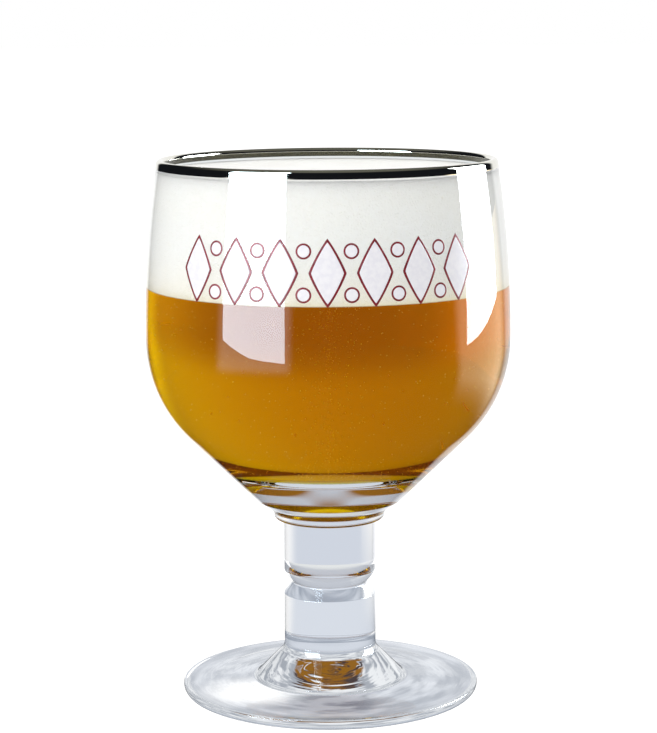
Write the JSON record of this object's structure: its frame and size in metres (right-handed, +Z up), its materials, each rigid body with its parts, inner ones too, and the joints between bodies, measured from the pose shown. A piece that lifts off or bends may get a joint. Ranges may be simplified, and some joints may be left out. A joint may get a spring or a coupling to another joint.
{
  "type": "chalice beer glass",
  "caption": "Stemmed chalice beer glass with a tapering thick-based bowl, a cut-waist stem, a round foot and a metal rim band, holding golden beer under a deep foam head.",
  "frame": {"origin": "centre of the foot's underside, level with the table", "axes": "+Z up along the glass's axis; -Y is the side that faces the viewer, where the ornament is"},
  "size_m": [0.101, 0.101, 0.1501],
  "materials": {
    "glass": "clear, polished",
    "rim_metal": "fired platinum lustre",
    "beer": "clear golden liquid",
    "foam": "fine froth"
  },
  "bodies": {
    "root": {"bowl": "glass", "stem": "glass", "foot": "glass", "rim_band": "rim_metal", "beer": "beer", "foam_head": "foam"}
  },
  "joints": []
}
